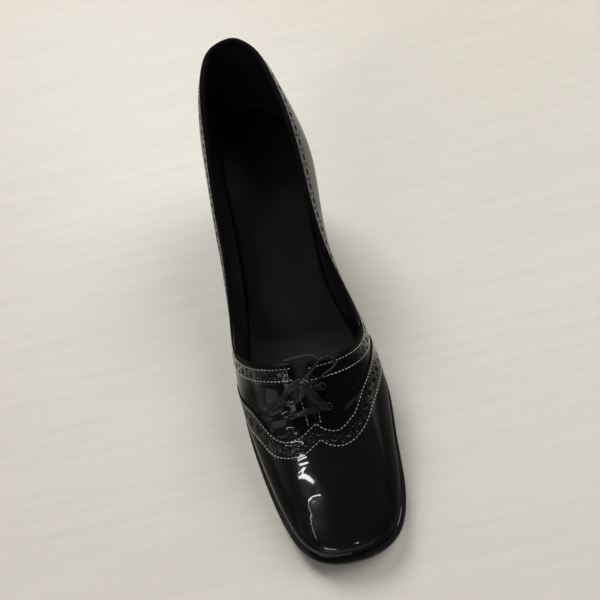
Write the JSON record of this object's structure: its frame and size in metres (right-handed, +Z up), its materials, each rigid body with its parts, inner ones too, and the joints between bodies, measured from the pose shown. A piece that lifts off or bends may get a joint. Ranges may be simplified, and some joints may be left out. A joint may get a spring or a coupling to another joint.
{
  "type": "cap toe pump",
  "caption": "Right-foot women's lace-up pump with a winged patent toe cap, open collar, laced throat with a bow, thin leather sole and a curved mid-height heel.",
  "frame": {"origin": "middle of the underside of the shoe's box, on the floor it stands on, measured without the bow", "axes": "+Z up, toe towards -Y, heel towards +Y, big-toe side towards +X"},
  "size_m": [0.0784, 0.2475, 0.1197],
  "materials": {
    "patent_leather": "black, mirror gloss on the vamp and cap, satin on the quarters",
    "lining_leather": "black, matte",
    "sole_leather": "black, matte, worn underneath",
    "heel_leather": "black, satin",
    "lift_rubber": "black, rough",
    "lace_cord": "black, waxed"
  },
  "bodies": {
    "root": {"upper": "patent_leather", "outsole": "sole_leather", "insole": "lining_leather", "tongue": "lining_leather", "heel": "heel_leather", "top_lift": "lift_rubber", "lace_bar_lower": "lace_cord", "lace_bar_upper": "lace_cord", "lace_knot": "lace_cord", "lace_loop_right": "lace_cord", "lace_loop_left": "lace_cord", "lace_end_right": "lace_cord", "lace_end_left": "lace_cord"}
  },
  "joints": []
}
